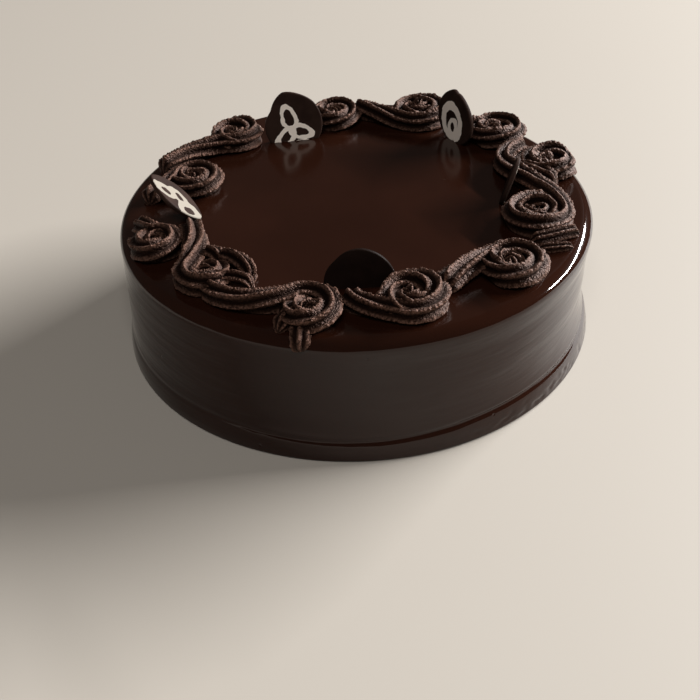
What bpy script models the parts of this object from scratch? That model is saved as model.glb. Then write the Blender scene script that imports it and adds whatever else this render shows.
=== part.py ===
"""A round chocolate fudge cake, glazed all over, with a ring of piped scrolls and five plaques.

Metres, +Z up. The origin is the centre of the cake's base, and -Y is its front. Bearings are
degrees, counter-clockwise from +X as seen from above.
"""

import math
from collections import namedtuple

import bpy
import numpy as np
from mathutils import Matrix

MM = 0.001

# The cake: a low drum, a little wider at its foot than at its rim.
FOOT_RADIUS = 104.5 * MM
RIM_RADIUS = 100.2 * MM
HEIGHT = 56.2 * MM
RIM_ROUND = 6.2 * MM  # how far the glaze rounds the top edge
RIM_ARC = (90.0, 68.0, 45.0, 22.0, 0.0)  # degrees along that rounding
FOOT_ROUND = 1.2 * MM
SIDE_ROWS = (0.62, 0.36)  # the side's two rows of points, as shares of its height
GROOVE_HEIGHT = 9.0 * MM  # the shallow line that runs round the side above the foot
GROOVE_DEPTH = 1.0 * MM
GROOVE_WIDTH = 2.2 * MM
GROOVE_BEARING = -42.0  # where the groove is deepest
GROOVE_FAINT = 0.35  # its depth on the far side, as a share
SIDE_WAVE = 0.35 * MM  # how uneven the glazed side is
SIDE_WAVES = ((3, 1.0, 0.62), (7, 0.0, 0.38))  # waves round it, where they start, and their shares
CAKE_SEGMENTS = 88

# The piping: a rope from a star nozzle, with sharp ridges on its back and a flat underside.
ROPE_HALF_WIDTH = 5.3 * MM
ROPE_HEIGHT = 8.8 * MM
RIDGES = 5
GROOVE_SHARE = 0.80  # a groove's distance from the rope's middle, as a share of a ridge's
FIRST_RIDGE = -4.0  # degrees above the horizontal
LAST_RIDGE = 184.0
ROPE_WAIST = 0.42  # how high its middle lies, as a share of its height
UNDERSIDE = (-0.78, -0.28, 0.28, 0.78)  # the flat underside's points, in half widths
TAIL_STEP = 4.6 * MM
TAIL_NARROW = 0.55  # how wide a tail starts, as a share
TAIL_LOW = 0.75  # how high it starts, as a share
TAIL_SWELL = 0.33  # the share of its length over which it grows to full size

# A coil: the rope wound inwards round an open eye, sinking towards it.
COIL_TURNS = 1.8
COIL_STEP = 27.0  # degrees between two stations
COIL_EYE = 1.6 * MM  # how far from the coil's centre the rope ends
COIL_HEIGHT = 10.0 * MM  # how high its outer turn stands
COIL_LIFT = 1.0 * MM  # how far its end rides up on the glaze
COIL_TIGHTENING = 1.6  # how late the turns wind in: 1 is evenly
COIL_THINNING = 0.55  # how much narrower the rope is at its end
COIL_SINKING = 1.3  # how late the turns sink towards the eye: 1 is evenly
COIL_ONSET = 90.0  # degrees over which the rope rises to its outer turn
INNER_REACH = 0.92  # how near to the coil's centre the rope's inner side comes, as a share
STRETCH = 235.0  # degrees of coil that a rope goes round before it would meet itself
LAP = 24.0  # degrees that one stretch runs into the next
LAP_SHARE = 0.86  # the size of a lapped end
CORE_SIDES = 12
CORE_PROFILE = ((1.0, 0.2 * MM), (1.0, 2.5 * MM), (0.6, 3.8 * MM))  # share of the ring, height

# A loose strand: narrow at both ends of a swelling middle.
STRAND_STEP = 3.2 * MM
STRAND_SWELL = (0.18, 0.82)  # the stretch of a sine arch that its outline follows
STRAND_FULLNESS = 0.5

# What lies on the glaze keeps this far from it.
GAP = 0.4 * MM
OVER_RIM = math.radians(85.0)  # how far a strand bends over the rim before it hangs straight down

# A plaque: a thin disc of chocolate, drawn out to a soft tip.
PLAQUE_THICKNESS = 2.0 * MM
PLAQUE_POINTS = 32
SWELL_SHARPNESS = 1.4

GLAZE = ("glaze", (0.020, 0.010, 0.007), 0.16)
PIPING = ("piping", (0.045, 0.027, 0.021), 0.62)
PLAQUE = ("plaque", (0.016, 0.010, 0.009), 0.30)

# One piped scroll: its coil's centre and outer radius, the way it turns (1 is counter-clockwise),
# the bearing on the coil where its tail comes in, where the tail starts and heads to, how strongly
# it swings out, and how high the coil's middle stands. Millimetres and degrees.
Scroll = namedtuple("Scroll", "x y radius turn entry tail_x tail_y heading pull middle")
SCROLLS = {
    "scroll_1": Scroll(-19.5, -83.5, 14.6, -1, 118, -51.8, -75.0, -25, 0.95, 6.0),
    "scroll_2": Scroll(20.5, -80.0, 14.4, 1, -108, -0.6, -76.0, -78, 1.0, 9.0),
    "scroll_3": Scroll(60.3, -60.8, 14.4, -1, 122, 36.4, -70.2, 56, 0.95, 6.5),
    "scroll_4": Scroll(76.0, -24.2, 14.2, -1, 5, 80.0, 36.8, -148, 1.6, 7.0),
    "scroll_5": Scroll(89.0, 18.8, 12.3, -1, 200, 88.4, 2.4, 150, 0.6, 7.0),
    "scroll_6": Scroll(69.2, 54.5, 13.8, -1, 120, 51.0, 61.2, -6, 0.9, 6.5),
    "scroll_7": Scroll(34.5, 76.0, 14.8, 1, -112, 8.6, 86.0, -45, 1.0, 8.0),
    "scroll_8": Scroll(-7.6, 78.5, 13.6, -1, 150, -28.0, 73.0, 40, 0.8, 6.5),
    "scroll_9": Scroll(-54.5, 61.0, 13.6, 1, -95, -86.0, 32.5, 50, 0.9, 9.0),
    "scroll_10": Scroll(-70.8, 17.6, 13.6, -1, 160, -89.0, 4.0, 82, 0.8, 6.5),
    "scroll_11": Scroll(-82.0, -33.8, 11.8, -1, 95, -91.8, -18.2, 60, 0.7, 5.5),
    "scroll_12": Scroll(-58.7, -57.3, 13.1, 1, 158, -68.2, -20.6, -66, 0.9, 8.0),
}

# One strand of piping: where it starts and heads, where it ends and heads, its width and height.
# Millimetres and degrees. A scroll's own strands are joined to it.
Strand = namedtuple("Strand", "x y heading to_x to_y to_heading width height")
SCROLL_STRANDS = {
    "scroll_1": (
        Strand(-19.0, -86.0, -98, -19.5, -103.0, -90, 9.5, 6.0),
        Strand(-20.0, -85.0, -165, -29.5, -93.5, -115, 8.0, 7.0),
    ),
    "scroll_12": (
        Strand(-64.0, -60.5, 5, -40.5, -65.0, -60, 6.5, 8.0),
        Strand(-61.0, -45.5, -5, -41.5, -60.5, -70, 7.5, 9.5),
    ),
}
STUB = Strand(72.2, -45.2, 6, 90.0, -39.5, 24, 10.0, 9.0)  # a short end that lies on its own

# One plaque: its middle, the bearing it faces, how far its face looks up, its radius, and how its
# tip is turned from upright. Millimetres and degrees. The last entry lists where its outline swells
# or is drawn in: how far round from the tip, by what share of the radius, over how many degrees.
Plaque = namedtuple("Plaque", "x y z facing upward radius spin swells")
PLAQUES = {
    "plaque_1": Plaque(-26.8, 62.5, 63.6, -82, 12, 13.9, 14, ((0, 0.16, 26), (42, -0.12, 24), (-60, 0.03, 20))),
    "plaque_2": Plaque(50.3, 52.5, 67.5, -151, 0, 12.4, -4, ((6, 0.14, 28),)),
    "plaque_3": Plaque(-74.8, -6.5, 65.0, 3, 45, 10.3, -13, ((0, 0.40, 40), (180, 0.30, 40))),
    "plaque_4": Plaque(66.9, -3.8, 63.8, -10, -19, 10.0, 0, ((0, 0.16, 34),)),
    "plaque_5": Plaque(0.8, -66.0, 58.0, -90, 6, 13.6, -4, ((0, 0.06, 34), (52, -0.04, 20))),
}


def clear_scene():
    for thing in list(bpy.data.objects):
        bpy.data.objects.remove(thing, do_unlink=True)


def material(name, colour, roughness):
    """A Principled material, made once and shared."""
    made = bpy.data.materials.get(name) or bpy.data.materials.new(name)
    made.use_nodes = True
    shader = made.node_tree.nodes["Principled BSDF"]
    shader.inputs["Base Color"].default_value = (*colour, 1.0)
    shader.inputs["Roughness"].default_value = roughness
    shader.inputs["Metallic"].default_value = 0.0
    return made


def solid_object(name, points, faces, finish):
    """A mesh object from points and faces, shaded smooth with its sharp edges kept."""
    mesh = bpy.data.meshes.new(name)
    mesh.from_pydata([tuple(p) for p in points], [], [tuple(f) for f in faces])
    mesh.materials.append(material(*finish))
    mesh.shade_smooth()
    mesh.set_sharp_from_angle(angle=math.radians(35))
    made = bpy.data.objects.new(name, mesh)
    bpy.context.scene.collection.objects.link(made)
    return made


def tube_faces(rings, around):
    """Faces of a closed tube of rings, with one flat cap at each end."""
    faces = []
    for i in range(rings - 1):
        for j in range(around):
            k = (j + 1) % around
            faces.append((i * around + j, i * around + k, (i + 1) * around + k, (i + 1) * around + j))
    faces.append(tuple(range(around))[::-1])
    faces.append(tuple((rings - 1) * around + j for j in range(around)))
    return faces


def signed_volume(mesh):
    """Six times the volume inside a closed mesh, negative when its faces point inwards."""
    mesh.calc_loop_triangles()
    corners = np.array([[mesh.vertices[i].co for i in t.vertices] for t in mesh.loop_triangles])
    return np.linalg.det(corners).sum()


def tube_object(name, rings, finish):
    """A closed tube through rings of points, its faces pointing out."""
    count, around = rings.shape[:2]
    made = solid_object(name, rings.reshape(-1, 3), tube_faces(count, around), finish)
    if signed_volume(made.data) < 0:
        made.data.flip_normals()
    return made


def fuse(name, pieces):
    """One solid from overlapping ones, by a single Boolean union on a collection."""
    body, others = pieces[0], pieces[1:]
    group = bpy.data.collections.new(name + "_parts")
    bpy.context.scene.collection.children.link(group)
    for piece in others:
        bpy.context.scene.collection.objects.unlink(piece)
        group.objects.link(piece)
    union = body.modifiers.new("join", "BOOLEAN")
    union.operation = "UNION"
    union.operand_type = "COLLECTION"
    union.collection = group
    union.solver = "MANIFOLD"
    bpy.context.view_layer.update()
    joined = bpy.data.meshes.new_from_object(body.evaluated_get(bpy.context.evaluated_depsgraph_get()))
    body.modifiers.clear()
    body.data = joined
    joined.name = name
    body.name = name
    for piece in others:
        bpy.data.objects.remove(piece, do_unlink=True)
    bpy.data.collections.remove(group)
    return body


# ---------------------------------------------------------------- the cake


def side_profile():
    """Radius and height down the cake's side, from the top's flat edge to the base."""
    flat = RIM_RADIUS - RIM_ROUND
    arc = np.radians(RIM_ARC)
    rows = [(flat + RIM_ROUND * math.cos(a), HEIGHT - RIM_ROUND * (1 - math.sin(a))) for a in arc]
    shoulder = HEIGHT - RIM_ROUND
    sides = [share * shoulder for share in SIDE_ROWS]
    for height in (*sides, GROOVE_HEIGHT + GROOVE_WIDTH, GROOVE_HEIGHT):
        share = (shoulder - height) / shoulder
        rows.append((RIM_RADIUS + share * (FOOT_RADIUS - RIM_RADIUS), height))
    rows.append((FOOT_RADIUS, GROOVE_HEIGHT - GROOVE_WIDTH))
    rows.append((FOOT_RADIUS, FOOT_ROUND))
    rows.append((FOOT_RADIUS - FOOT_ROUND, 0.0))
    return np.array(rows)


def side_hollows(bearing, height):
    """How far the side lies in from its profile: its slow unevenness and the groove, which fades
    away from its own bearing."""
    shoulder = HEIGHT - RIM_ROUND
    belly = np.sin(math.pi * np.clip((height - GROOVE_HEIGHT) / (shoulder - GROOVE_HEIGHT), 0, 1))
    wave = sum(share * np.sin(count * bearing + start) for count, start, share in SIDE_WAVES)
    nearness = 0.5 + 0.5 * np.cos(bearing - math.radians(GROOVE_BEARING))
    depth = GROOVE_DEPTH * (GROOVE_FAINT + (1 - GROOVE_FAINT) * nearness**2)
    groove = depth * np.exp(-(((height - GROOVE_HEIGHT) / (0.6 * GROOVE_WIDTH)) ** 2))
    return SIDE_WAVE * belly * wave + groove


def build_cake():
    """The turned drum."""
    rows = side_profile()
    bearing = np.linspace(0, 2 * math.pi, CAKE_SEGMENTS, endpoint=False)
    radius, height = rows[:, :1], rows[:, 1:]
    spread = radius - side_hollows(bearing, height)
    x, y = spread * np.cos(bearing), spread * np.sin(bearing)
    rings = np.stack([x, y, np.broadcast_to(height, x.shape)], axis=-1)
    return tube_object("cake", rings, GLAZE)


def drape(x, y, above, lean):
    """Places on the glaze, from plan places measured along it and heights above it. Past the flat top
    they bend over the rim and then hang down the side. With lean 0 a height stays upright, and with
    lean 1 it follows the rim's own outward direction."""
    run = np.hypot(x, y)
    flat = RIM_RADIUS - RIM_ROUND
    bend = RIM_ROUND + GAP
    turned = np.clip((run - flat) / bend, 0, OVER_RIM)
    hanging = np.maximum(0, run - flat - bend * turned)
    out = np.minimum(run, flat) + bend * np.sin(turned) + hanging * math.cos(OVER_RIM)
    out = out + lean * above * np.sin(turned)
    up = HEIGHT - RIM_ROUND + bend * np.cos(turned) - hanging * math.sin(OVER_RIM)
    up = up + above * (1 + lean * (np.cos(turned) - 1))
    return np.stack([x * out / run, y * out / run, up], axis=-1)


# ---------------------------------------------------------------- the piping


def rope_section():
    """The rope's outline, in half widths across and heights up: ridges and grooves over its back, and
    the points of its flat underside."""
    crests = np.linspace(FIRST_RIDGE, LAST_RIDGE, RIDGES)
    valleys = (crests[1:] + crests[:-1]) / 2
    angles = np.radians(np.concatenate([crests, valleys]))
    reach = np.concatenate([np.ones(RIDGES), np.full(RIDGES - 1, GROOVE_SHARE)])
    order = np.argsort(angles)
    across = np.cos(angles[order]) * reach[order]
    up = ROPE_WAIST + (1 - ROPE_WAIST) * np.sin(angles[order]) * reach[order]
    return np.append(across, UNDERSIDE), np.append(up, np.zeros(len(UNDERSIDE)))


def rope_rings(places, left, right, height, lift, lean=0):
    """The rope's outline set up across each station and laid on the glaze."""
    across, up = rope_section()
    heading = np.gradient(places, axis=0)
    heading /= np.linalg.norm(heading, axis=1, keepdims=True)
    leftward = np.stack([-heading[:, 1], heading[:, 0]], axis=1)
    width = np.where(across[None, :] > 0, left[:, None], right[:, None]) * across
    x = places[:, :1] + leftward[:, :1] * width
    y = places[:, 1:] + leftward[:, 1:] * width
    return drape(x, y, lift[:, None] + height[:, None] * up, lean)


def swing(start, heading, end, end_heading, pull, step):
    """Points along a cubic that leaves its start and reaches its end along given headings. The end
    itself is left out."""
    start, end = np.array(start), np.array(end)
    setting_out = np.array([math.cos(heading), math.sin(heading)])
    arriving = np.array([math.cos(end_heading), math.sin(end_heading)])
    span = np.linalg.norm(end - start)
    t = np.linspace(0, 1, max(3, int(round(1.1 * span / step))), endpoint=False)[:, None]
    return (
        (2 * t**3 - 3 * t**2 + 1) * start
        + (t**3 - 2 * t**2 + t) * pull * span * setting_out
        + (3 * t**2 - 2 * t**3) * end
        + (t**3 - t**2) * pull * span * arriving
    )


def coil_route(scroll):
    """Stations of the coil alone: degrees gone round, places, and distances from its centre."""
    swept = np.arange(0, COIL_TURNS * 360 + 1, COIL_STEP)
    ring = scroll.radius * MM - ROPE_HALF_WIDTH
    distance = COIL_EYE + (ring - COIL_EYE) * (1 - (swept / swept[-1]) ** COIL_TIGHTENING)
    bearing = np.radians(scroll.entry + scroll.turn * swept)
    x = scroll.x * MM + distance * np.cos(bearing)
    y = scroll.y * MM + distance * np.sin(bearing)
    return swept, np.stack([x, y], axis=1), distance


def scroll_rings(scroll):
    """Rings along a whole scroll, from its tail's start to the coil's eye, and the degrees of coil
    that each has gone round."""
    swept, coil, distance = coil_route(scroll)
    start = (scroll.tail_x * MM, scroll.tail_y * MM)
    joining = math.radians(scroll.entry) + scroll.turn * math.pi / 2
    tail = swing(start, math.radians(scroll.heading), coil[0], joining, scroll.pull, TAIL_STEP)
    before, after = len(tail), len(coil)
    grown = np.append(np.minimum(1, np.arange(before) / before / TAIL_SWELL), np.ones(after))
    inward = np.append(np.zeros(before), swept / swept[-1])
    onset = np.append(np.zeros(before), np.minimum(1, swept / COIL_ONSET))
    half = ROPE_HALF_WIDTH * (TAIL_NARROW + (1 - TAIL_NARROW) * grown) * (1 - COIL_THINNING * inward**2)
    inner = np.minimum(half, np.append(half[:before], INNER_REACH * distance))
    left, right = (inner, half) if scroll.turn > 0 else (half, inner)
    lift = COIL_LIFT * inward
    height = ROPE_HEIGHT * (TAIL_LOW + (1 - TAIL_LOW) * grown) + (COIL_HEIGHT - ROPE_HEIGHT) * onset
    height = height + (scroll.middle * MM - COIL_HEIGHT) * inward**COIL_SINKING - lift
    rings = rope_rings(np.concatenate([tail, coil]), left, right, height, lift)
    return rings, np.append(np.full(before, -1.0), swept)


def draw_in(rings, end):
    """Shrinks the ring at one end towards its own middle, so that a lap sinks into its neighbour."""
    middle = rings[end].mean(axis=0)
    rings[end] = middle + LAP_SHARE * (rings[end] - middle)


def stretches(scroll):
    """The scroll's rope cut into stretches that don't meet themselves, each lapped into the next."""
    rings, swept = scroll_rings(scroll)
    starts = np.arange(0, swept[-1] - LAP, STRETCH)
    for start in starts:
        first = 0 if start == starts[0] else int(np.searchsorted(swept, start - LAP))
        last = len(swept) if start == starts[-1] else int(np.searchsorted(swept, start + STRETCH)) + 1
        stretch = rings[first:last].copy()
        if start != starts[0]:
            draw_in(stretch, 0)
        if start != starts[-1]:
            draw_in(stretch, -1)
        yield stretch


def coil_core(scroll):
    """A low drum that fills the coil's middle under its turns."""
    ring = scroll.radius * MM - ROPE_HALF_WIDTH
    bearing = np.linspace(0, 2 * math.pi, CORE_SIDES, endpoint=False)
    rows = []
    for share, height in CORE_PROFILE:
        x = scroll.x * MM + share * ring * np.cos(bearing)
        y = scroll.y * MM + share * ring * np.sin(bearing)
        rows.append(drape(x, y, np.full_like(x, height), 0))
    return np.array(rows)


def strand_rings(strand):
    """A short rope, highest in its middle, that keeps to the glaze wherever it goes."""
    start, end = (strand.x * MM, strand.y * MM), (strand.to_x * MM, strand.to_y * MM)
    heading, end_heading = math.radians(strand.heading), math.radians(strand.to_heading)
    places = np.append(swing(start, heading, end, end_heading, 1.0, STRAND_STEP), [end], axis=0)
    swell = np.sin(np.linspace(*STRAND_SWELL, len(places)) * math.pi) ** STRAND_FULLNESS
    half = strand.width * MM / 2 * swell
    return rope_rings(places, half, half, strand.height * MM * swell, np.zeros(len(places)), 1)


def build_scroll(name, scroll):
    pieces = [tube_object(f"{name}_rope_{i}", rings, PIPING) for i, rings in enumerate(stretches(scroll))]
    pieces.append(tube_object(name + "_core", coil_core(scroll), PIPING))
    for i, strand in enumerate(SCROLL_STRANDS.get(name, ())):
        pieces.append(tube_object(f"{name}_strand_{i}", strand_rings(strand), PIPING))
    return fuse(name, pieces)


# ---------------------------------------------------------------- the plaques


def plaque_outline(plaque):
    """A disc with its swells, turned by its spin, and cut off where it would go into the cake."""
    angle = np.radians(np.linspace(-180, 180, PLAQUE_POINTS, endpoint=False))
    reach = np.full(PLAQUE_POINTS, plaque.radius * MM)
    for at, share, width in plaque.swells:
        off = np.degrees(np.abs(np.angle(np.exp(1j * (angle - math.radians(90 + at))))))
        reach += plaque.radius * MM * share * np.exp(-((off / width) ** SWELL_SHARPNESS))
    turned = angle + math.radians(plaque.spin)
    tilt = math.radians(plaque.upward)
    thick = PLAQUE_THICKNESS / 2 * abs(math.sin(tilt))
    lowest = (HEIGHT + GAP + thick - plaque.z * MM) / math.cos(tilt)
    return reach * np.cos(turned), np.maximum(lowest, reach * np.sin(turned))


def build_plaque(name, plaque):
    """The outline on two faces, stood up on the glaze, leaned and turned to where it faces."""
    across, up = plaque_outline(plaque)
    half = PLAQUE_THICKNESS / 2
    back = np.stack([across, np.full_like(across, half), up], axis=1)
    front = np.stack([across, np.full_like(across, -half), up], axis=1)
    made = tube_object(name, np.array([back, front]), PLAQUE)
    made.matrix_world = (
        Matrix.Translation((plaque.x * MM, plaque.y * MM, plaque.z * MM))
        @ Matrix.Rotation(math.radians(plaque.facing + 90), 4, "Z")
        @ Matrix.Rotation(math.radians(-plaque.upward), 4, "X")
    )
    return made


def main():
    clear_scene()
    build_cake()
    for name, scroll in SCROLLS.items():
        build_scroll(name, scroll)
    tube_object("stub", strand_rings(STUB), PIPING)
    for name, plaque in PLAQUES.items():
        build_plaque(name, plaque)


main()
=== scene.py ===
# %% [markdown]
# # A glazed chocolate fudge cake with a piped ring
#
# The real cake is a sponge with a dark, pourable glaze over it. A ring of whipped chocolate is piped on
# its rim through a star nozzle, as a dozen scrolls with tails, and thin chocolate plaques stand among
# them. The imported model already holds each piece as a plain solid. Here each solid gets its fine
# surface. It could be sculpted by hand, but the glaze and the piping both follow simple rules, so they
# are worked out as formulas instead: a turned profile, and a ridged outline carried along a spiral.

# %% Load the frame and keep its size
import math
from collections import namedtuple

import bpy
import numpy as np
from mathutils import Matrix, Vector


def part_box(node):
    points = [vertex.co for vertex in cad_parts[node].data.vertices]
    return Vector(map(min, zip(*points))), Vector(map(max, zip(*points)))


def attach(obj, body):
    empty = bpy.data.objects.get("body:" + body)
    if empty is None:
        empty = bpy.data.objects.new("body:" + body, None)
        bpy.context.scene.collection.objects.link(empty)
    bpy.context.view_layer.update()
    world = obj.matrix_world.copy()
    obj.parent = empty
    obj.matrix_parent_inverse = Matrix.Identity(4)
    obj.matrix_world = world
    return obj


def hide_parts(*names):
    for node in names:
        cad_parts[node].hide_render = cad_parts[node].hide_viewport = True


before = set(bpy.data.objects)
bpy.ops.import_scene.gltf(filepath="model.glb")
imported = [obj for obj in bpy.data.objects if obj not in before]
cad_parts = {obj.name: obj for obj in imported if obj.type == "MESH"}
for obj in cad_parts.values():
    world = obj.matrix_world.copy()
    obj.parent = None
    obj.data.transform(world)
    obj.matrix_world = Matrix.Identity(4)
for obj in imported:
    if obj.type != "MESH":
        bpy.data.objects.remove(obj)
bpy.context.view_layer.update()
MM = 0.001
print("pieces in the frame:", ", ".join(sorted(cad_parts)))

# %% [markdown]
# ## The camera
#
# The photograph looks down on the cake at about 35 degrees, from in front and a little to one side.
# A camera can be placed by eye, but its place was worked out from the cake's own outlines, so it is
# written as a turn and a place: each row below is one of the camera's own directions.

# %% Camera
CAMERA_PLACE = (0.0, -0.388405, 0.276963)
CAMERA_RIGHT = (0.99895886, -0.02006177, -0.04097208)
CAMERA_UP = (0.04464456, 0.61463839, 0.78754461)
CAMERA_BACK = (0.00938348, -0.78855385, 0.61489412)
LENS = 52.392764

camera = bpy.data.objects.new("camera", bpy.data.cameras.new("camera"))
turn = Matrix((CAMERA_RIGHT, CAMERA_UP, CAMERA_BACK)).transposed().to_4x4()
camera.matrix_world = Matrix.Translation(CAMERA_PLACE) @ turn
camera.data.sensor_width = 36.0
camera.data.lens = LENS
camera.data.clip_start = 0.01
bpy.context.scene.collection.objects.link(camera)
bpy.context.scene.camera = camera
print("camera looks down at", round(math.degrees(math.asin(CAMERA_BACK[2])), 1), "degrees")

# %% [markdown]
# ## The studio
#
# Dark glaze shows mostly what it mirrors, so the light matters as much as the colour. The photograph
# has a long, low light behind and to the right, which draws a white line on the rim and lights the
# right-hand flanks of the piping. A weaker one overhead and in front lights the plaques' faces, and
# the glaze doesn't mirror it. The rest of the room only glows dimly, and the pale floor opens the
# shadows from below. A brighter room would be mirrored in the top and turn it grey.

# %% Floor and lights
# A lamp's bearing and elevation in degrees, with 0 to the right and 90 behind, then its distance, width
# and height in metres, and its power.
Lamp = namedtuple("Lamp", "bearing elevation distance width height watts")
KEY_LIGHT = Lamp(27.0, 24.0, 4.0, 3.0, 0.12, 500.0)
CEILING_LIGHT = Lamp(-92.0, 56.0, 2.2, 1.0, 0.8, 20.0)
FLOOR_SIZE = 6.0
FLOOR_COLOUR = (0.43, 0.39, 0.34, 1.0)
FLOOR_ROUGHNESS = 0.6
SKY_COLOUR = (0.055, 0.047, 0.042, 1.0)


def soft_light(name, lamp):
    """A flat soft light that looks at the cake's middle from a bearing, an elevation and a distance."""
    around, above = math.radians(lamp.bearing), math.radians(lamp.elevation)
    level = math.cos(above)
    outward = Vector((level * math.cos(around), level * math.sin(around), math.sin(above)))
    light = bpy.data.objects.new(name, bpy.data.lights.new(name, "AREA"))
    light.data.shape = "RECTANGLE"
    light.data.size = lamp.width
    light.data.size_y = lamp.height
    light.data.energy = lamp.watts
    aim = outward.to_track_quat("Z", "Y").to_matrix().to_4x4()
    light.matrix_world = Matrix.Translation(outward * lamp.distance) @ aim
    bpy.context.scene.collection.objects.link(light)
    return light


soft_light("key_light", KEY_LIGHT)
ceiling_light = soft_light("ceiling_light", CEILING_LIGHT)
ceiling_light.visible_glossy = False

half = FLOOR_SIZE / 2
corners = [(-half, -half, 0.0), (half, -half, 0.0), (half, half, 0.0), (-half, half, 0.0)]
floor_mesh = bpy.data.meshes.new("floor")
floor_mesh.from_pydata(corners, [], [(0, 1, 2, 3)])
floor = bpy.data.objects.new("floor", floor_mesh)
bpy.context.scene.collection.objects.link(floor)
floor_finish = bpy.data.materials.new("pale_floor")
floor_finish.use_nodes = True
floor_shader = floor_finish.node_tree.nodes["Principled BSDF"]
floor_shader.inputs["Base Color"].default_value = FLOOR_COLOUR
floor_shader.inputs["Roughness"].default_value = FLOOR_ROUGHNESS
floor_mesh.materials.append(floor_finish)

world = bpy.data.worlds.new("studio")
world.use_nodes = True
world.node_tree.nodes["Background"].inputs["Color"].default_value = SKY_COLOUR
bpy.context.scene.world = world
bpy.context.scene.view_settings.view_transform = "Standard"
print("the key light stands at bearing", KEY_LIGHT.bearing)

# %% [markdown]
# ## Helpers
#
# Nothing on a hand-made cake is quite even. Random numbers joined smoothly give that unevenness, in one
# direction for a rope's wobble and in two for a grainy surface. A bell lets a swelling fade out on both
# sides, and an ease lets a change start and end softly. The last helper turns rings of points into one
# closed mesh: neighbouring rings are joined by four-sided faces, and a single point closes each end.

# %% Smooth unevenness
LATTICE = 512  # after so many random numbers the pattern starts again


def bell(off, width):
    """1 in the middle and less on both sides of it: e to the power of -(off / width) squared."""
    return np.exp(-((off / width) ** 2))


def ease(value, start, end):
    """0 before start, 1 after end, and a smooth step (3t^2 - 2t^3) between them."""
    t = np.clip((value - start) / (end - start), 0, 1)
    return t * t * (3 - 2 * t)


def wobble(along, step, seed):
    """A smooth random curve: one random number in -1..1 every step, eased from each to the next."""
    knots = np.random.default_rng(seed).uniform(-1, 1, LATTICE)
    at = np.asarray(along) / step
    left = np.floor(at).astype(int)
    share = at - left
    share = share * share * (3 - 2 * share)
    return knots[left % LATTICE] * (1 - share) + knots[(left + 1) % LATTICE] * share


def grain(across, down, seed):
    """A smooth random surface: random numbers in -1..1 on a lattice of whole numbers, eased between."""
    knots = np.random.default_rng(seed).uniform(-1, 1, (LATTICE, LATTICE))
    i, j = np.floor(across).astype(int), np.floor(down).astype(int)
    s, t = across - i, down - j
    s, t = s * s * (3 - 2 * s), t * t * (3 - 2 * t)
    i, j, k, m = i % LATTICE, j % LATTICE, (i + 1) % LATTICE, (j + 1) % LATTICE
    near = knots[i, j] * (1 - s) + knots[k, j] * s
    far = knots[i, m] * (1 - s) + knots[k, m] * s
    return near * (1 - t) + far * t


# %% Closed meshes from rings
def closed_mesh(name, shells, finish, flats, period=0.0):
    """One mesh of one or more closed shells, each an array of rings of points. Each ring is joined to the
    next by quads, and the middle of the first and last ring closes the ends with a fan. The volume's
    sign tells whether the faces have to be turned to point outwards. The flat places given for each
    shell's points become the UV map; period is the map's length all round."""
    points, loops, sizes, lapped, offset = [], [], [], [], 0
    for rings in shells:
        count, around = rings.shape[:2]
        grid = offset + np.arange(count * around).reshape(count, around)
        here, there = grid[:-1], grid[1:]
        quads = np.stack([here, np.roll(here, -1, 1), np.roll(there, -1, 1), there], axis=-1)
        lap = np.zeros(quads.shape)
        lap[:, -1, 1:3] = period
        first, last = offset + count * around, offset + count * around + 1
        start = np.stack([np.full(around, first), np.roll(grid[0], -1), grid[0]], axis=-1)
        end = np.stack([np.full(around, last), grid[-1], np.roll(grid[-1], -1)], axis=-1)
        body = np.concatenate([rings.reshape(-1, 3), rings[:1].mean(1), rings[-1:].mean(1)])
        corners = np.concatenate([body[start - offset], body[end - offset]])
        quads, lap = quads.reshape(-1, 4), lap.reshape(-1, 4)
        halves = body[np.concatenate([quads[:, [0, 1, 2]], quads[:, [0, 2, 3]]]) - offset]
        volume = np.linalg.det(corners).sum() + np.linalg.det(halves).sum()
        step = 1 if volume > 0 else -1
        points.append(body)
        for faces, laps in ((quads, lap), (start, 0 * start), (end, 0 * end)):
            loops.append(faces[:, ::step].ravel())
            lapped.append(laps[:, ::step].ravel())
            sizes.append(np.full(len(faces), faces.shape[1]))
        offset += len(body)
    points, loops, sizes = np.concatenate(points), np.concatenate(loops), np.concatenate(sizes)
    mesh = bpy.data.meshes.new(name)
    mesh.vertices.add(len(points))
    mesh.vertices.foreach_set("co", points.astype(np.float32).ravel())
    mesh.loops.add(len(loops))
    mesh.loops.foreach_set("vertex_index", loops.astype(np.int32))
    mesh.polygons.add(len(sizes))
    mesh.polygons.foreach_set("loop_start", (np.cumsum(sizes) - sizes).astype(np.int32))
    mesh.update(calc_edges=True)
    spread = [part for flat in flats for part in (flat.reshape(-1, 2), flat[:1].mean(1), flat[-1:].mean(1))]
    spread = np.concatenate(spread)[loops]
    spread[:, 0] += np.concatenate(lapped)
    mesh.uv_layers.new(name="flat").data.foreach_set("uv", spread.astype(np.float32).ravel())
    mesh.shade_smooth()
    mesh.materials.append(finish)
    piece = bpy.data.objects.new(name, mesh)
    bpy.context.scene.collection.objects.link(piece)
    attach(piece, "root")
    return piece


# %% [markdown]
# ## The finishes
#
# Three finishes cover the cake. The glaze is nearly black and mirrors its surroundings: softly on top,
# and more sharply on the rim and down the side, where the spatula left long strokes that lie nearly
# level. The piping is whipped, so it scatters light and shows its grain, with a brown sheen on the
# flanks that face the light. The plaques are tempered chocolate with a satin face, and some of them carry
# white loops, which could be piped first, with the dark chocolate poured over them. A finish could also
# be painted as a picture, but noise and ramps need no file and stay sharp at any distance.

# %% A material with its nodes at hand
Nodes = namedtuple("Nodes", "material tree shader place")


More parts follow.
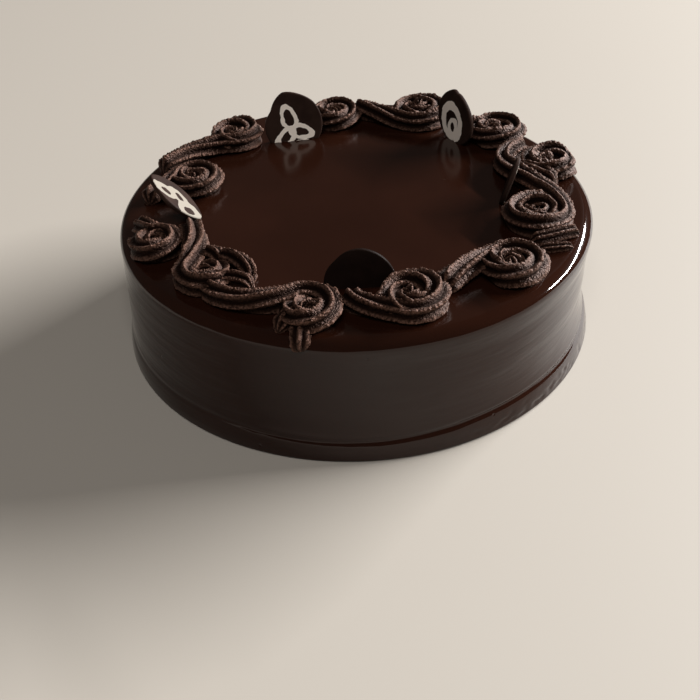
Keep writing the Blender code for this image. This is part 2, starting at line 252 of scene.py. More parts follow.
def finish_nodes(name, roughness, refraction):
    """A new material, its node tree, its shader and its object coordinates."""
    material = bpy.data.materials.new(name)
    material.use_nodes = True
    tree = material.node_tree
    shader = tree.nodes["Principled BSDF"]
    shader.inputs["Roughness"].default_value = roughness
    shader.inputs["IOR"].default_value = refraction
    place = tree.nodes.new("ShaderNodeTexCoord").outputs["Object"]
    return Nodes(material, tree, shader, place)


def noise(nodes, size, stretch=(1, 1, 1), detail=3.0, source=None, turn=0.0):
    """Noise whose blobs are about size metres wide, drawn out along an axis where stretch is below 1."""
    mapping = nodes.tree.nodes.new("ShaderNodeMapping")
    mapping.inputs["Rotation"].default_value = (0, 0, math.radians(turn))
    mapping.inputs["Scale"].default_value = stretch
    nodes.tree.links.new(source or nodes.place, mapping.inputs["Vector"])
    texture = nodes.tree.nodes.new("ShaderNodeTexNoise")
    texture.inputs["Scale"].default_value = 1 / size
    texture.inputs["Detail"].default_value = detail
    nodes.tree.links.new(mapping.outputs["Vector"], texture.inputs["Vector"])
    return texture.outputs["Fac"]


def ramp(nodes, factor, low, high, start=0.3, end=0.7):
    """Runs a factor from one value or colour to another between two limits."""
    band = nodes.tree.nodes.new("ShaderNodeMapRange")
    band.inputs["From Min"].default_value = start
    band.inputs["From Max"].default_value = end
    band.interpolation_type = "SMOOTHSTEP"
    nodes.tree.links.new(factor, band.inputs["Value"])
    if isinstance(low, tuple):
        blend = nodes.tree.nodes.new("ShaderNodeMix")
        blend.data_type = "RGBA"
        blend.inputs["A"].default_value = (*low, 1.0)
        blend.inputs["B"].default_value = (*high, 1.0)
        nodes.tree.links.new(band.outputs["Result"], blend.inputs["Factor"])
        return blend.outputs["Result"]
    band.inputs["To Min"].default_value = low
    band.inputs["To Max"].default_value = high
    return band.outputs["Result"]


def product(nodes, left, right):
    """One value times the other."""
    times = nodes.tree.nodes.new("ShaderNodeMath")
    times.operation = "MULTIPLY"
    nodes.tree.links.new(left, times.inputs[0])
    nodes.tree.links.new(right, times.inputs[1])
    return times.outputs["Value"]


def bump(nodes, height, distance, under=None):
    """Raises the surface by a height map, on top of an earlier bump if there is one."""
    relief = nodes.tree.nodes.new("ShaderNodeBump")
    relief.inputs["Distance"].default_value = distance
    relief.inputs["Strength"].default_value = 1.0
    nodes.tree.links.new(height, relief.inputs["Height"])
    if under is not None:
        nodes.tree.links.new(under, relief.inputs["Normal"])
    return relief.outputs["Normal"]


# %% The glaze
GLAZE_TONES = ((0.0135, 0.0040, 0.0020), (0.0170, 0.0051, 0.0026))
GLAZE_PATCH = 0.05
GLAZE_REFRACTION = 1.42
SIDE_ROUGHNESS = 0.06
TOP_ROUGHNESS = 0.17
TOP_BEGINS = (0.05588, 0.05599)  # the heights over which the side's gloss turns into the top's
STROKES_END = (0.0520, 0.0559)  # the heights over which the side's relief fades
TOP_RELIEF = 0.12
# A stroke's width, how far it is drawn out, its slant in degrees and its depth.
Stroke = namedtuple("Stroke", "width stretch slant deep")
STROKES = (Stroke(0.0016, 0.07, 12.0, 0.00006), Stroke(0.006, 0.22, -8.0, 0.00035))
PIT_SPACING = 0.016
PIT_EDGE = (0.02, 0.06)
PIT_DEPTH = 0.0004


def glaze_finish():
    """Near-black brown that varies slowly, a soft mirror on top and a sharper one down the side. The
    side's bump is long spatula strokes that lie nearly level, and a few small pits."""
    nodes = finish_nodes("glaze", TOP_ROUGHNESS, GLAZE_REFRACTION)
    link = nodes.tree.links.new
    link(ramp(nodes, noise(nodes, GLAZE_PATCH), *GLAZE_TONES), nodes.shader.inputs["Base Color"])
    split = nodes.tree.nodes.new("ShaderNodeSeparateXYZ")
    link(nodes.place, split.inputs["Vector"])
    on_top = ramp(nodes, split.outputs["Z"], 0.0, 1.0, *TOP_BEGINS)
    link(ramp(nodes, on_top, SIDE_ROUGHNESS, TOP_ROUGHNESS, 0.0, 1.0), nodes.shader.inputs["Roughness"])
    flat = nodes.tree.nodes.new("ShaderNodeTexCoord").outputs["UV"]
    on_side = ramp(nodes, split.outputs["Z"], 1.0, TOP_RELIEF, *STROKES_END)
    relief = None
    for stroke in STROKES:
        streaks = noise(nodes, stroke.width, (stroke.stretch, 1, 1), 2.0, flat, stroke.slant)
        relief = bump(nodes, product(nodes, streaks, on_side), stroke.deep, relief)
    cells = nodes.tree.nodes.new("ShaderNodeTexVoronoi")
    cells.inputs["Scale"].default_value = 1 / PIT_SPACING
    link(nodes.place, cells.inputs["Vector"])
    pits = product(nodes, ramp(nodes, cells.outputs["Distance"], 0.0, 1.0, *PIT_EDGE), on_side)
    link(bump(nodes, pits, PIT_DEPTH, relief), nodes.shader.inputs["Normal"])
    return nodes.material


# %% The piping
PIPING_TONES = ((0.012, 0.0056, 0.0038), (0.115, 0.060, 0.042))
PIPING_ROUGHNESS = 0.52
PIPING_REFRACTION = 1.42
SHEEN_TONE = (1.0, 0.52, 0.37, 1.0)
SPECK_SIZE = 0.0008
SPECK_HEIGHT = 0.0007
# The grooves' darker tone is painted shade: it stands in for the shadow that falls deep in the grooves.
PAINTED_SHADE_TONE = (0.006, 0.0028, 0.0020, 1.0)
PAINTED_SHADE_DEPTHS = (0.1, 0.65)  # how far down from a crest the painted shade darkens the cream, where 1 is the groove's floor


def piping_finish():
    """Dark brown with paler specks and a brown sheen, with painted shade that darkens it down in the
    grooves, and a fine grit that only bends the light."""
    nodes = finish_nodes("piping", PIPING_ROUGHNESS, PIPING_REFRACTION)
    nodes.shader.inputs["Specular Tint"].default_value = SHEEN_TONE
    link = nodes.tree.links.new
    specks = noise(nodes, SPECK_SIZE, detail=2.0)
    pale = ramp(nodes, specks, *PIPING_TONES)
    split = nodes.tree.nodes.new("ShaderNodeSeparateXYZ")
    link(nodes.tree.nodes.new("ShaderNodeTexCoord").outputs["UV"], split.inputs["Vector"])
    # Painted shade: the colour darkens from each crest down to the groove's floor.
    blend = nodes.tree.nodes.new("ShaderNodeMix")
    blend.data_type = "RGBA"
    link(ramp(nodes, split.outputs["X"], 0.0, 1.0, *PAINTED_SHADE_DEPTHS), blend.inputs["Factor"])
    link(pale, blend.inputs["A"])
    blend.inputs["B"].default_value = PAINTED_SHADE_TONE
    link(blend.outputs["Result"], nodes.shader.inputs["Base Color"])
    link(bump(nodes, specks, SPECK_HEIGHT), nodes.shader.inputs["Normal"])
    return nodes.material


# %% The plaques' chocolate
# Each white loop is a ring: its middle, its half width and half height, its turn, and its stroke's half
# width. The turn is in degrees, and the rest are shares of the plaque's radius.
Loop = namedtuple("Loop", "x y wide tall turn stroke")
LOOPS = {
    "trefoil": (
        Loop(0.02, 0.36, 0.22, 0.36, 4, 0.085),
        Loop(-0.27, -0.20, 0.20, 0.38, 120, 0.095),
        Loop(0.30, -0.20, 0.20, 0.36, -118, 0.09),
        Loop(0.0, -0.60, 0.34, 0.14, 0, 0.06),
    ),
    "nested": (
        Loop(0.0, -0.04, 0.50, 0.60, 6, 0.15),
        Loop(0.06, -0.22, 0.20, 0.30, -14, 0.10),
    ),
    "chain": (
        Loop(-0.16, 0.56, 0.24, 0.34, 20, 0.12),
        Loop(0.20, 0.06, 0.26, 0.36, -24, 0.13),
        Loop(-0.24, -0.50, 0.40, 0.34, 12, 0.15),
    ),
}
# The chain's plaques are turned from the light, so their white is painted duller: this is painted shade.
LOOP_WHITES_AND_PAINTED_SHADE = {"trefoil": (0.90, 0.79, 0.68), "nested": (0.90, 0.79, 0.68), "chain": (0.27, 0.24, 0.20)}
PLAQUE_TONES = ((0.020, 0.0110, 0.0085), (0.032, 0.0175, 0.0130))
PLAIN_SHARE = 0.35  # how light a plaque without loops is, next to the others
PLAQUE_ROUGHNESS = 0.5
PLAQUE_REFRACTION = 1.12
PLAQUE_PATCH = 0.008
LOOP_WAVES = 2.4  # how often the loops bend across a plaque's radius
LOOP_BEND = 0.22  # and by what share of it


def loop_mask(nodes, loop, flat):
    """1 on the ring and 0 off it: the place is turned and squeezed so that the ring is a unit circle, and
    what counts is how far its distance from the middle is from 1."""
    mapping = nodes.tree.nodes.new("ShaderNodeMapping")
    mapping.vector_type = "TEXTURE"
    mapping.inputs["Location"].default_value = (loop.x, loop.y, 0)
    mapping.inputs["Rotation"].default_value = (0, 0, math.radians(loop.turn))
    mapping.inputs["Scale"].default_value = (loop.wide, loop.tall, 1)
    nodes.tree.links.new(flat, mapping.inputs["Vector"])
    length = nodes.tree.nodes.new("ShaderNodeVectorMath")
    length.operation = "LENGTH"
    nodes.tree.links.new(mapping.outputs["Vector"], length.inputs[0])
    off = nodes.tree.nodes.new("ShaderNodeMath")
    off.operation = "COMPARE"
    off.inputs[1].default_value = 1.0
    off.inputs[2].default_value = loop.stroke / (0.5 * (loop.wide + loop.tall))
    nodes.tree.links.new(length.outputs["Value"], off.inputs[0])
    return off.outputs["Value"]


def plaque_finish(name, loops=(), white_tone=(0, 0, 0)):
    """Dark satin chocolate; white loops lie in its face where the pattern has them, bent a little by
    noise, and a plaque without them is darker still."""
    nodes = finish_nodes("plaque_" + name, PLAQUE_ROUGHNESS, PLAQUE_REFRACTION)
    dim = 1.0 if loops else PLAIN_SHARE
    link = nodes.tree.links.new
    darker, paler = ((dim * r, dim * g, dim * b) for r, g, b in PLAQUE_TONES)
    dark = ramp(nodes, noise(nodes, PLAQUE_PATCH), darker, paler)
    flat = nodes.tree.nodes.new("ShaderNodeTexCoord").outputs["UV"]
    wavy = nodes.tree.nodes.new("ShaderNodeTexNoise")
    wavy.inputs["Scale"].default_value = LOOP_WAVES
    link(flat, wavy.inputs["Vector"])
    bent = nodes.tree.nodes.new("ShaderNodeVectorMath")
    bent.operation = "MULTIPLY_ADD"
    bent.inputs[1].default_value = (LOOP_BEND, LOOP_BEND, 0)
    link(wavy.outputs["Color"], bent.inputs[0])
    link(flat, bent.inputs[2])
    white = None
    for loop in loops:
        mask = loop_mask(nodes, loop, bent.outputs["Vector"])
        if white is not None:
            both = nodes.tree.nodes.new("ShaderNodeMath")
            both.operation = "MAXIMUM"
            link(white, both.inputs[0])
            link(mask, both.inputs[1])
            mask = both.outputs["Value"]
        white = mask
    if white is None:
        link(dark, nodes.shader.inputs["Base Color"])
        return nodes.material
    blend = nodes.tree.nodes.new("ShaderNodeMix")
    blend.data_type = "RGBA"
    link(white, blend.inputs["Factor"])
    link(dark, blend.inputs["A"])
    blend.inputs["B"].default_value = (*white_tone, 1.0)
    link(blend.outputs["Result"], nodes.shader.inputs["Base Color"])
    return nodes.material


GLAZE = glaze_finish()
PIPING = piping_finish()
PLAQUE = {name: plaque_finish(name, loops, LOOP_WHITES_AND_PAINTED_SHADE[name]) for name, loops in LOOPS.items()}
PLAQUE["plain"] = plaque_finish("plain")
print("made the glaze, the piping and the plaques' finishes:", ", ".join(PLAQUE))

# %% [markdown]
# ## The glazed cake
#
# The glaze runs over the rim and down the side, so the cake is one turned skin: a profile of places
# and heights, carried round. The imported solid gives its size. The skin adds what the pour left: a
# slightly uneven side, a shallow line above the foot and a soft rim.

# %% Sizes of the cake
FOOT_RADIUS, _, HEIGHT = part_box("cake")[1]
FLAT = 96.6 * MM
RIM_ROUND = 5.0 * MM
SHOULDER = HEIGHT - 5.2 * MM
SIDE_HEIGHTS = np.array([51.0, 47.5, 43.0, 36.0, 25.0, 13.0, 8.0, 4.0, 1.2]) * MM
SIDE_RADII = np.array([101.6, 101.4, 101.0, 101.0, 101.5, 102.3, 103.3, 104.2, 104.5]) * MM
FOOT_ROUND = 1.2 * MM
GROOVE_HEIGHT = 9.5 * MM
GROOVE_DEPTH = 0.8 * MM
GROOVE_WIDTH = 2.4 * MM
GROOVE_BEARING = math.radians(-32.0)
GROOVE_FAINT = 0.2
GROOVE_WAVE = 0.5 * MM
SIDE_WAVE = 0.35 * MM
SIDE_WAVES = ((3, 1.0, 0.62), (7, 0.0, 0.38))  # how many there are all round, their start and their share
# The lip stands out further on the right, and the side below it leans in there.
LIP_FLARE, LIP_HEIGHT, LIP_SPREAD = 0.8 * MM, 51 * MM, 7 * MM
LEAN, LEAN_HEIGHT, LEAN_SPREAD = 1.3 * MM, 20 * MM, 12 * MM
# Near the foot the glaze is puckered by creases that run aslant.
PUCKER, PUCKER_HEIGHT, PUCKER_SPREAD = 0.55 * MM, 3.5 * MM, 2.5 * MM
CREASE_COUNT, CREASE_SLANT, CREASE_PITCH, CREASE_SEED = 40, 9, 1.1 * MM, 5
print("the cake is", round(2000 * FOOT_RADIUS), "mm wide and", round(1000 * HEIGHT, 1), "mm high")

# %% The skin
AROUND = 600
TOP_ROWS, RIM_ROWS, SIDE_ROWS, FOOT_ROWS, BASE_ROWS = 30, 26, 90, 8, 6
INNERMOST = 0.02  # the innermost ring, as a share of the flat part
SMOOTHING = 1.6 * MM
SMOOTHING_STEPS = np.linspace(-3, 3, 25) * MM


def profile():
    """The turned outline from the top's middle to the base's, as radius and height: flat, a quarter
    round, a smooth curve through the side's sizes, a small round and flat again."""
    top = np.linspace(INNERMOST, 1, TOP_ROWS)[:, None] * [FLAT, 0] + [0, HEIGHT]
    arc = np.radians(np.linspace(90, 0, RIM_ROWS))[1:]
    rim = np.stack([FLAT + RIM_ROUND * np.cos(arc), SHOULDER + (HEIGHT - SHOULDER) * np.sin(arc)], axis=1)
    height = np.linspace(SHOULDER, FOOT_ROUND, SIDE_ROWS)[1:]
    weight = bell(SMOOTHING_STEPS, SMOOTHING)
    nearby = np.interp(height[:, None] + SMOOTHING_STEPS, SIDE_HEIGHTS[::-1], SIDE_RADII[::-1])
    side = np.stack([nearby @ weight / weight.sum(), height], axis=1)
    arc = np.radians(np.linspace(0, -90, FOOT_ROWS))[1:]
    centre = FOOT_RADIUS - FOOT_ROUND
    foot = np.stack([centre + FOOT_ROUND * np.cos(arc), FOOT_ROUND + FOOT_ROUND * np.sin(arc)], axis=1)
    base = np.linspace(1, INNERMOST, BASE_ROWS)[1:, None] * [centre, 0]
    return np.concatenate([top, rim, side, foot, base])


def glazed_skin():
    """Radius = outline - slow waves - a groove that fades away from its bearing + a lip and a lean that
    follow the cosine of the bearing - puckers near the foot; height = outline."""
    rows = profile()
    bearing = np.linspace(0, 2 * math.pi, AROUND, endpoint=False) + math.pi / 2
    radius, height = rows[:, :1], rows[:, 1:]
    belly = np.sin(math.pi * np.clip((height - GROOVE_HEIGHT) / (SHOULDER - GROOVE_HEIGHT), 0, 1))
    wave = sum(share * np.sin(count * bearing + start) for count, start, share in SIDE_WAVES)
    nearness = 0.5 + 0.5 * np.cos(bearing - GROOVE_BEARING)
    depth = GROOVE_DEPTH * (GROOVE_FAINT + (1 - GROOVE_FAINT) * nearness**2)
    level = GROOVE_HEIGHT + GROOVE_WAVE * np.sin(5 * bearing)
    groove = depth * bell(height - level, 0.45 * GROOVE_WIDTH)
    lip = LIP_FLARE * np.cos(bearing) * bell(height - LIP_HEIGHT, LIP_SPREAD)
    lean = LEAN * np.maximum(0, np.cos(bearing)) * bell(height - LEAN_HEIGHT, LEAN_SPREAD)
    crease = grain(bearing * CREASE_COUNT, height / CREASE_PITCH + bearing * CREASE_SLANT, CREASE_SEED)
    crease = np.maximum(0, crease * nearness**6)
    pucker = PUCKER * crease * bell(height - PUCKER_HEIGHT, PUCKER_SPREAD)
    on_side = np.clip((radius - FLAT) / RIM_ROUND, 0, 1) * (height > FOOT_ROUND)
    spread = radius + on_side * (lip - lean - SIDE_WAVE * belly * wave - groove - pucker)
    x, y = spread * np.cos(bearing), spread * np.sin(bearing)
    run = np.append(0, np.cumsum(np.hypot(*np.diff(rows, axis=0).T)))[:, None]
    flat = np.stack([bearing * FLAT + 0 * run, run + 0 * bearing], axis=-1)
    return np.stack([x, y, np.broadcast_to(height, x.shape)], axis=-1), flat


rings, flat = glazed_skin()
skin = closed_mesh("glazed_cake", [rings], GLAZE, [flat], 2 * math.pi * FLAT)
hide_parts("cake")
print("the skin has", len(skin.data.polygons), "faces")

# %% [markdown]
# ## The piping
#
# A star nozzle squeezes out a rope with sharp ridges and round grooves. A scroll is one such rope: a
# tail, then a coil that winds inwards round an eye. So each scroll is one outline carried along one
# path. Its ridges tear a little as they leave the nozzle, which gives them saw-toothed crests, and the
# inner turns, where the rope is bent hardest, tear the most. A carved block could have the same shape,
# but the path and the outline keep the ridges running truly from the tail into the eye.

# %% Where each scroll lies
# Millimetres and degrees: the coil's centre and outer radius, the way it turns (1 is counter-clockwise),
# the bearing where its tail comes in, the tail's start, heading and swing; the tail's width as a share of
# the rope's; the turns that the coil makes; how far its eye lies from its centre, and the eye's height;
# and how many ridges run off outwards over the coil, which is its swirl.
Scroll = namedtuple(
    "Scroll", "x y radius turn entry tail_x tail_y heading pull tail turns eye_x eye_y middle swirl"
)
SCROLLS = {
    "scroll_1": Scroll(-19.5, -83.5, 14.8, -1, 118, -56.5, -66.0, -66, 1.15, 0.95, 1.45, 1.5, -2.0, 6.0, 6),
    "scroll_2": Scroll(20.5, -80.0, 14.4, 1, -108, -4.0, -76.0, -70, 1.0, 0.9, 1.8, -2.5, -3.0, 9.0, 10),
    "scroll_3": Scroll(60.3, -60.8, 14.4, -1, 122, 32.6, -73.0, 58, 0.9, 1.05, 1.8, -2.8, 0.0, 6.5, 9),
    "scroll_4": Scroll(76.2, -24.4, 15.4, -1, 5, 80.0, 37.0, -148, 1.6, 1.0, 1.9, -1.5, 0.6, 7.0, 5),
    "scroll_5": Scroll(88.4, 18.8, 13.8, -1, 200, 88.0, 2.0, 150, 0.6, 0.9, 1.8, -3.5, -1.5, 7.0, 6),
    "scroll_6": Scroll(69.0, 53.4, 14.8, -1, 120, 51.0, 61.2, -6, 0.9, 0.9, 1.8, -3.5, -1.5, 6.5, 9),
    "scroll_7": Scroll(34.5, 76.0, 15.0, 1, -112, 3.0, 87.0, -38, 1.0, 1.0, 1.8, -1.5, 4.0, 8.0, 9),
    "scroll_8": Scroll(-7.4, 78.5, 13.6, -1, 150, -28.0, 73.0, 40, 0.8, 0.9, 1.8, -1.4, 1.0, 6.5, 8),
    "scroll_9": Scroll(-54.5, 61.0, 13.6, 1, -95, -86.0, 31.0, 55, 0.9, 1.0, 1.8, -1.5, -4.0, 9.0, 9),
    "scroll_10": Scroll(-70.4, 17.6, 13.4, -1, 160, -89.0, 4.0, 82, 0.8, 0.9, 1.8, -2.0, 1.5, 6.5, 6),
    "scroll_11": Scroll(-81.2, -33.8, 12.3, -1, 95, -91.0, -18.0, 60, 0.7, 0.9, 1.8, 1.5, 1.5, 5.5, 6),
    "scroll_12": Scroll(-58.7, -57.3, 13.1, 1, 158, -68.5, -20.0, -68, 0.9, 1.05, 1.25, 0.5, -1.0, 5.0, 4),
}
TAIL_ROLL = 1.0  # how many ridges run off outwards along the tail
widest = max(SCROLLS, key=lambda name: SCROLLS[name].radius)
print("the ring has", len(SCROLLS), "scrolls, the widest is", widest)

# %% The rope's outline
ROPE_HALF_WIDTH = 5.3 * MM
ROPE_HEIGHT = 8.8 * MM
COIL_HEIGHT = 10.0 * MM
ROPE_WAIST = 0.42  # how high up the rope is widest, as a share of its height
UNDERSIDE = 0.7  # how wide its flat underside is, as a share of its width
RIDGES = 5
FIRST_RIDGE = math.radians(-30.0)
RIDGE_PITCH = math.radians(60.0)
TUCK = math.radians(12.0)  # how far the outline curls in under its lowest ridges
RIDGE_DEEP = 0.50
RIDGE_SHARP = 0.3
RIDGE_SOFT = 0.12
OUTLINE_POINTS = 112
UNDER_POINTS = 8
LAST_RIDGE = FIRST_RIDGE + (RIDGES - 1) * RIDGE_PITCH


def rope_outline(twist, shift):
    """Distance from the middle = 1 - depth x (how far the point is from the nearest crest, 1 in a
    groove), on an arc from low on the one side over the top to low on the other, closed by a flat
    underside. Twist turns the arc, and shift moves the ridges along it. Returns places across and up,
    how far each point is down into a groove, and which crest is nearest."""
    arc = np.linspace(FIRST_RIDGE - TUCK, LAST_RIDGE + TUCK, OUTLINE_POINTS)
    ridge = (arc - FIRST_RIDGE) / RIDGE_PITCH + shift[:, None]
    off = 2 * np.abs((ridge + 0.5) % 1 - 0.5)
    reach = 1 - RIDGE_DEEP * (np.hypot(off, RIDGE_SOFT) - RIDGE_SOFT)
    angle = arc + twist[:, None]
    under = np.linspace(-1, 1, UNDER_POINTS + 2)[1:-1] * UNDERSIDE
    none = np.zeros((len(twist), UNDER_POINTS))
    across = np.concatenate([np.cos(angle) * reach, none + under], axis=1)
    up = np.concatenate([ROPE_WAIST + (1 - ROPE_WAIST) * np.sin(angle) * reach, none], axis=1)
    groove = np.concatenate([off, none + 1], axis=1)
    return across, up, groove, np.concatenate([np.round(ridge), none], axis=1)


# %% Along the rope
STATION = 0.31 * MM
TEAR_PITCH = 0.55 * MM
TEAR_DEEP = 0.36 * MM
TEAR_ON_TOP = 0.35  # how deep the tears are on top, as a share of those low down
RAG_PITCH = 2 * MM  # the larger rags of the inner turns
RAG_CHANGE = 3  # how differently two neighbouring ridges are ragged
TWIST, TWIST_PITCH = math.radians(9), 14 * MM
SWELL, SWELL_PITCH = 0.05, 9 * MM
BLUNT_END, TIP = 3 * MM, 0.02  # how far the rounding of an end reaches, and the share left at its tip
GRIT_PITCH = 0.6 * MM
GRIT_DEEP = 0.19 * MM
GRIT_SHARE, GRIT_CHANGE, GRIT_RUN = 0.75, 0.45, 11 * MM  # it is coarser in some stretches than in others
GRIT_ABOVE = 0.05  # the underside stays smooth
SINK = 0.2 * MM
STEEPEST = math.radians(85.0)  # where the rim gives way to the side


def drape(x, y, above, lean):
    """Places on the glaze: the plan distance runs flat, then round the rim, then down the side. With
    lean 0 a height stays upright, and with lean 1 it follows the rim's own outward direction."""
    run = np.hypot(x, y)
    turned = np.clip((run - FLAT) / RIM_ROUND, 0, STEEPEST)
    hanging = np.maximum(0, run - FLAT - RIM_ROUND * turned)
    out = np.minimum(run, FLAT) + RIM_ROUND * np.sin(turned)
    out = out + lean * above * np.sin(turned)
    up = SHOULDER + (HEIGHT - SHOULDER) * np.cos(turned) - hanging
    up = up + above * (1 + lean * (np.cos(turned) - 1))
    return np.stack([x * out / run, y * out / run, up], axis=-1)


def rope_shell(places, left, right, height, lift, seed, lean=0, shift=None, ragged=0):
    """The outline set up across each station, torn along its crests, with larger rags where ragged is
    above 0, and rounded off at both ends, then laid on the glaze. Last, every point is pushed along the
    surface's normal by fine random grit. Returns the rings, and for each point how deep in a groove it is
    and how far along the rope."""
    steps = np.linalg.norm(np.diff(places, axis=0), axis=1)
    along = np.append(0, np.cumsum(steps))
    heading = np.gradient(places, axis=0)
    heading /= np.linalg.norm(heading, axis=1, keepdims=True)
    leftward = np.stack([-heading[:, 1], heading[:, 0]], axis=1)
    twist = TWIST * wobble(along, TWIST_PITCH, seed)
    across, up, groove, ridge = rope_outline(twist, 0 * along if shift is None else shift)
    crest = bell(groove, RIDGE_SHARP)
    low_down = np.minimum(1, np.abs(across)) ** 2
    tears = grain(along[:, None] / TEAR_PITCH + 0 * ridge, ridge, seed + 1)
    rags = grain(along[:, None] / RAG_PITCH + 0 * ridge, RAG_CHANGE * ridge, seed + 5)
    torn = TEAR_DEEP * crest * (TEAR_ON_TOP + (1 - TEAR_ON_TOP) * low_down) * tears
    torn = torn + ragged * crest * np.maximum(0, rags)
    swell = 1 + SWELL * wobble(along, SWELL_PITCH, seed + 3)[:, None] + torn / ROPE_HALF_WIDTH
    from_end = np.minimum(along, along[-1] - along)
    blunt = np.sqrt(np.clip(1 - (1 - np.minimum(1, from_end / BLUNT_END)) ** 2, TIP, 1))[:, None]
    width = np.where(across > 0, left[:, None], right[:, None]) * across * swell * blunt
    x = places[:, :1] + leftward[:, :1] * width
    y = places[:, 1:] + leftward[:, 1:] * width
    above = lift[:, None] + height[:, None] * up * swell * blunt - SINK
    rings = drape(x, y, above, lean)
    around = np.roll(rings, -1, 1) - np.roll(rings, 1, 1)
    normal = np.cross(around, np.gradient(rings, axis=0))
    normal /= np.linalg.norm(normal, axis=-1, keepdims=True) + 1e-12
    girth = np.append(0, np.cumsum(np.linalg.norm(np.diff(rings[len(rings) // 2], axis=0), axis=1)))
    grit = grain(along[:, None] / GRIT_PITCH + 0 * up, girth / GRIT_PITCH + 0 * up, seed + 2)
    coarse = GRIT_SHARE + GRIT_CHANGE * wobble(along, GRIT_RUN, seed + 4)
    coarse = coarse[:, None] * (up > GRIT_ABOVE)
    rings = rings + normal * (GRIT_DEEP * coarse * grit)[..., None]
    return rings, np.stack([groove, np.broadcast_to(along[:, None], groove.shape)], axis=-1)


# %% A scroll's path
TAIL_STEPS, COIL_STEPS = 200, 400
# Shares of the coil: where it closes in to the inner turn, then to the eye, and moves over to the eye.
CLOSING_IN, CLOSING_UP, MOVING_OVER = (0.27, 0.72), (0.6, 1), (0.2, 0.8)
TAIL_GROWS = (0.2, 0.9)  # the share of the tail over which it takes on the rope's width
COIL_RISES = 90  # the degrees over which the rope takes on the coil's height
COIL_INNER = 3.2 * MM
COIL_EYE = 1.2 * MM
COIL_THINNING = 0.15
COIL_SINKING = 1.3
COIL_LIFT = 1.0 * MM
COIL_RAGS = 1.3 * MM
INNER_REACH = 0.92  # how near the rope's inner side comes to the coil's middle
SWIRL_ONSET = 2.0  # how late in the coil the ridges run off: 1 is evenly


def swing(start, heading, end, end_heading, pull, count):
    """A cubic from start to end that leaves and arrives along given headings (Hermite's formula)."""
    start, end = np.array(start), np.array(end)
    setting_out = np.array([math.cos(heading), math.sin(heading)])
    arriving = np.array([math.cos(end_heading), math.sin(end_heading)])
    span = np.linalg.norm(end - start)
    t = np.linspace(0, 1, count, endpoint=False)[:, None]
    return (
        (2 * t**3 - 3 * t**2 + 1) * start
        + (t**3 - 2 * t**2 + t) * pull * span * setting_out
        + (3 * t**2 - 2 * t**3) * end
        + (t**3 - t**2) * pull * span * arriving
    )


def even_stations(places, *values):
    """The same path, and values along it, at stations an even distance apart."""
    along = np.append(0, np.cumsum(np.linalg.norm(np.diff(places, axis=0), axis=1)))
    at = np.linspace(0, along[-1], int(along[-1] / STATION))
    spread = [np.interp(at, along, value) for value in (places[:, 0], places[:, 1], *values)]
    return np.stack(spread[:2], axis=1), *spread[2:]


def scroll_shell(scroll, seed):
    """Tail, then a spiral: the distance from the coil's centre eases from the outer ring's to the inner
    turn's, then to the eye's, while the centre moves over to the eye. The rope thins and sinks as it
    goes in, and its ridges run off outwards."""
    ring = scroll.radius * MM - ROPE_HALF_WIDTH
    swept = np.linspace(0, scroll.turns * 360, COIL_STEPS)
    share = swept / swept[-1]
    distance = ring + (COIL_INNER - ring) * ease(share, *CLOSING_IN)
    distance = distance + (COIL_EYE - COIL_INNER) * ease(share, *CLOSING_UP)
    bearing = np.radians(scroll.entry + scroll.turn * swept)
    over = ease(share, *MOVING_OVER)
    x = (scroll.x + scroll.eye_x * over) * MM + distance * np.cos(bearing)
    y = (scroll.y + scroll.eye_y * over) * MM + distance * np.sin(bearing)
    coil = np.stack([x, y], axis=1)
    joining = math.radians(scroll.entry) + scroll.turn * math.pi / 2
    start = (scroll.tail_x * MM, scroll.tail_y * MM)
    tail = swing(start, math.radians(scroll.heading), coil[0], joining, scroll.pull, TAIL_STEPS)
    growth = ease(np.linspace(0, 1, TAIL_STEPS), *TAIL_GROWS)
    none = np.zeros(TAIL_STEPS)
    size = np.append(scroll.tail + (1 - scroll.tail) * growth, np.ones(COIL_STEPS))
    rolled = np.append(np.linspace(-1, 0, TAIL_STEPS, endpoint=False), np.zeros(COIL_STEPS))
    inward = np.append(none, share)
    onset = np.append(none, np.minimum(1, swept / COIL_RISES))
    reach = np.append(none + 1.0, INNER_REACH * distance)
    path = np.concatenate([tail, coil])
    places, size, rolled, inward, onset, reach = even_stations(path, size, rolled, inward, onset, reach)
    half = ROPE_HALF_WIDTH * size * (1 - COIL_THINNING * inward**2)
    inner = np.minimum(half, reach)
    left, right = (inner, half) if scroll.turn > 0 else (half, inner)
    lift = COIL_LIFT * inward
    height = ROPE_HEIGHT * (0.5 + 0.5 * size) + (COIL_HEIGHT - ROPE_HEIGHT) * onset
    height = height + (scroll.middle * MM - COIL_HEIGHT) * inward**COIL_SINKING - lift
    shift = -scroll.turn * (TAIL_ROLL * rolled + scroll.swirl * inward**SWIRL_ONSET)
    return rope_shell(places, left, right, height, lift, seed, 0, shift, COIL_RAGS * inward[:, None])


# %% Under the coils
CORE_AROUND = 48
CORE_ROWS = ((1.0, -0.2), (1.0, 2.5), (0.6, 3.8), (0.1, 3.6))  # shares of the ring's radius, and heights


def core_shell(scroll):
    """A low drum under the coil's turns, so that nothing shows through beside the eye."""
    ring = scroll.radius * MM - ROPE_HALF_WIDTH
    bearing = np.linspace(0, 2 * math.pi, CORE_AROUND, endpoint=False)
    rows = []
    for share, height in CORE_ROWS:
        x = scroll.x * MM + share * ring * np.cos(bearing)
        y = scroll.y * MM + share * ring * np.sin(bearing)
        rows.append(drape(x, y, np.full_like(x, height * MM), 0))
    rows = np.array(rows)
    return rows, np.ones((*rows.shape[:2], 2))


